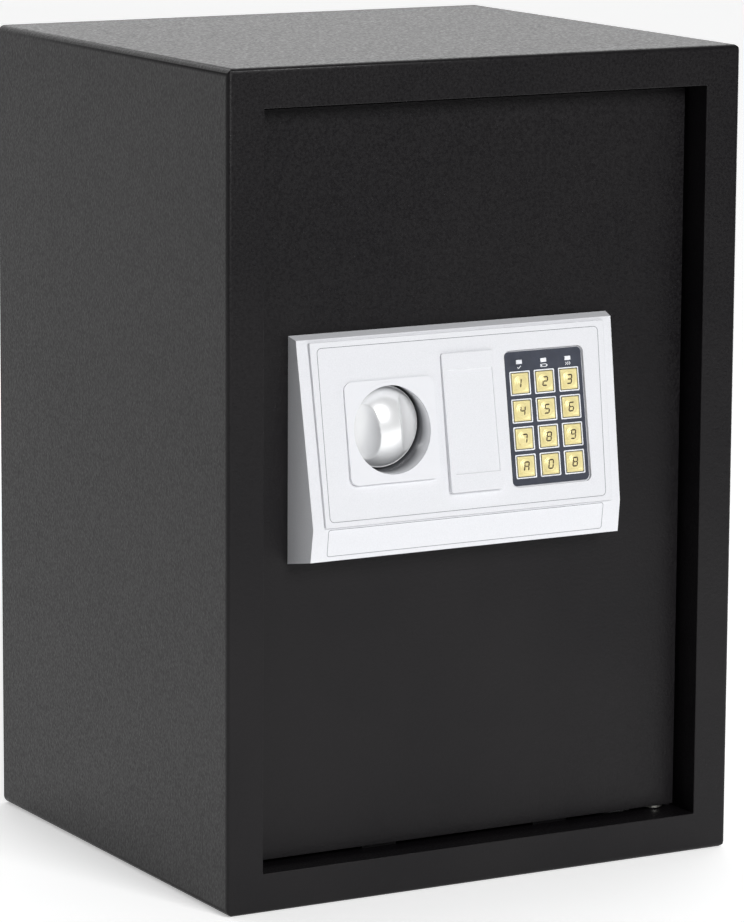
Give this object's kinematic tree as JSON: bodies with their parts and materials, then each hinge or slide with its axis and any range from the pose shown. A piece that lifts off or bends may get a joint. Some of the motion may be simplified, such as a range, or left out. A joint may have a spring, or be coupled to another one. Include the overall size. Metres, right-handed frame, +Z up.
{
  "type": "electronic security safe",
  "caption": "Black steel security safe with a recessed hinged door, sloped silver control panel with turn knob, key cover and gold-key keypad, and a working bolt mechanism behind.",
  "frame": {"origin": "middle of the base, on the surface the safe stands on", "axes": "+Z up, front faces -Y, +X to the right as seen from the front; the door's hinge axis is vertical at the right"},
  "size_m": [0.35, 0.3202, 0.5],
  "materials": {
    "powder_coat": "fine textured black powder coat",
    "felt": "grey needle felt",
    "plated_steel": "dull zinc plate",
    "bright_steel": "bright turned steel",
    "bush_brass": "turned brass",
    "silver_plastic": "satin silver paint on moulded plastic",
    "satin_chrome": "satin plated plastic",
    "keypad_blue": "satin blue-grey overlay",
    "lens_white": "milky lens",
    "board_green": "solder mask",
    "switch_black": "moulded",
    "lead_grey": "soft insulation",
    "coil_copper": "enamelled wire",
    "black_plastic": "moulded",
    "cell_wrap": "printed sleeve",
    "red_plastic": "moulded",
    "gold_key": "gold-coloured satin key cap"
  },
  "bodies": {
    "cabinet": {"body_shell": "powder_coat", "back_panel": "powder_coat", "bolt_keeper": "powder_coat", "door_stops": "powder_coat", "hinge_brackets": "powder_coat", "hinge_pins": "bright_steel", "hinge_washers": "plated_steel", "shelf": "powder_coat", "shelf_brackets": "powder_coat", "floor_mat": "felt"},
    "door": {"door_plate": "powder_coat", "hinge_lugs": "powder_coat", "bolt_guide": "plated_steel", "guide_screws": "bright_steel", "spindle_bush": "bush_brass", "panel_housing": "silver_plastic", "face_plate": "silver_plastic", "knob_escutcheon": "silver_plastic", "keypad_bezel": "keypad_blue", "led_lenses": "lens_white", "keypad_board": "board_green", "key_switches": "switch_black", "panel_screws": "plated_steel", "wiring": "lead_grey", "control_board": "board_green", "solenoid_frame": "plated_steel", "solenoid_coil": "coil_copper", "solenoid_spring": "bright_steel", "override_lock_body": "bright_steel", "lock_nut": "plated_steel", "door_back_cover": "powder_coat", "cover_screws": "plated_steel", "battery_box": "black_plastic", "battery_contacts": "bright_steel", "batteries": "cell_wrap"},
    "knob": {"turn_knob": "satin_chrome", "knob_spindle": "bright_steel", "crank_plate": "plated_steel", "spindle_clip": "bright_steel"},
    "bolts": {"bolt_carriage": "plated_steel", "locking_bolts": "bright_steel", "bolt_screws": "plated_steel"},
    "plunger": {"solenoid_plunger": "bright_steel"},
    "plug": {"lock_barrel": "bright_steel", "lock_cam": "plated_steel"},
    "cover": {"key_cover": "silver_plastic"},
    "lid": {"battery_lid": "black_plastic"},
    "reset": {"reset_button": "red_plastic"},
    "button_1": {"key_1": "gold_key"},
    "button_2": {"key_2": "gold_key"},
    "button_3": {"key_3": "gold_key"},
    "button_4": {"key_4": "gold_key"},
    "button_5": {"key_5": "gold_key"},
    "button_6": {"key_6": "gold_key"},
    "button_7": {"key_7": "gold_key"},
    "button_8": {"key_8": "gold_key"},
    "button_9": {"key_9": "gold_key"},
    "button_a": {"key_a": "gold_key"},
    "button_0": {"key_0": "gold_key"},
    "button_b": {"key_b": "gold_key"}
  },
  "joints": [
    {"name": "door_swing", "type": "hinge", "parent": "cabinet", "child": "door", "pos_m": [0.137, -0.128, 0.25], "axis": [0, 0, 1], "range_deg": [0, 95]},
    {"name": "knob_turn", "type": "hinge", "parent": "door", "child": "knob", "pos_m": [-0.0666, -0.14, 0.2832], "axis": [0, -1, 0], "range_deg": [0, 90]},
    {"name": "bolt_slide", "type": "slide", "parent": "door", "child": "bolts", "axis": [-1, 0, 0], "range_m": [0, 0.0184]},
    {"name": "plunger_drop", "type": "slide", "parent": "door", "child": "plunger", "axis": [0, 0, -1], "range_m": [0, 0.006], "stiffness_N_per_m": 60, "springref_m": 0.008, "deforming": ["solenoid_spring"]},
    {"name": "plug_turn", "type": "hinge", "parent": "door", "child": "plug", "pos_m": [-0.0124, -0.14, 0.284], "axis": [0, 1, 0], "range_deg": [0, 90]},
    {"name": "cover_pull", "type": "slide", "parent": "door", "child": "cover", "axis": [0, -0.9871, 0.1599], "range_m": [0, 0.02]},
    {"name": "lid_pull", "type": "slide", "parent": "door", "child": "lid", "axis": [0, 1, 0], "range_m": [0, 0.02]},
    {"name": "reset_press", "type": "slide", "parent": "door", "child": "reset", "axis": [0, -1, 0], "range_m": [0, 0.002], "stiffness_N_per_m": 300},
    {"name": "press_1", "type": "slide", "parent": "door", "child": "button_1", "axis": [0, 0.9871, -0.1599], "range_m": [0, 0.0006], "stiffness_N_per_m": 300},
    {"name": "press_2", "type": "slide", "parent": "door", "child": "button_2", "axis": [0, 0.9871, -0.1599], "range_m": [0, 0.0006], "stiffness_N_per_m": 300},
    {"name": "press_3", "type": "slide", "parent": "door", "child": "button_3", "axis": [0, 0.9871, -0.1599], "range_m": [0, 0.0006], "stiffness_N_per_m": 300},
    {"name": "press_4", "type": "slide", "parent": "door", "child": "button_4", "axis": [0, 0.9871, -0.1599], "range_m": [0, 0.0006], "stiffness_N_per_m": 300},
    {"name": "press_5", "type": "slide", "parent": "door", "child": "button_5", "axis": [0, 0.9871, -0.1599], "range_m": [0, 0.0006], "stiffness_N_per_m": 300},
    {"name": "press_6", "type": "slide", "parent": "door", "child": "button_6", "axis": [0, 0.9871, -0.1599], "range_m": [0, 0.0006], "stiffness_N_per_m": 300},
    {"name": "press_7", "type": "slide", "parent": "door", "child": "button_7", "axis": [0, 0.9871, -0.1599], "range_m": [0, 0.0006], "stiffness_N_per_m": 300},
    {"name": "press_8", "type": "slide", "parent": "door", "child": "button_8", "axis": [0, 0.9871, -0.1599], "range_m": [0, 0.0006], "stiffness_N_per_m": 300},
    {"name": "press_9", "type": "slide", "parent": "door", "child": "button_9", "axis": [0, 0.9871, -0.1599], "range_m": [0, 0.0006], "stiffness_N_per_m": 300},
    {"name": "press_a", "type": "slide", "parent": "door", "child": "button_a", "axis": [0, 0.9871, -0.1599], "range_m": [0, 0.0006], "stiffness_N_per_m": 300},
    {"name": "press_0", "type": "slide", "parent": "door", "child": "button_0", "axis": [0, 0.9871, -0.1599], "range_m": [0, 0.0006], "stiffness_N_per_m": 300},
    {"name": "press_b", "type": "slide", "parent": "door", "child": "button_b", "axis": [0, 0.9871, -0.1599], "range_m": [0, 0.0006], "stiffness_N_per_m": 300}
  ],
  "couplings": [
    {"joint": "bolt_slide", "follows": "knob_turn", "m_per_rad": 0.011704}
  ]
}
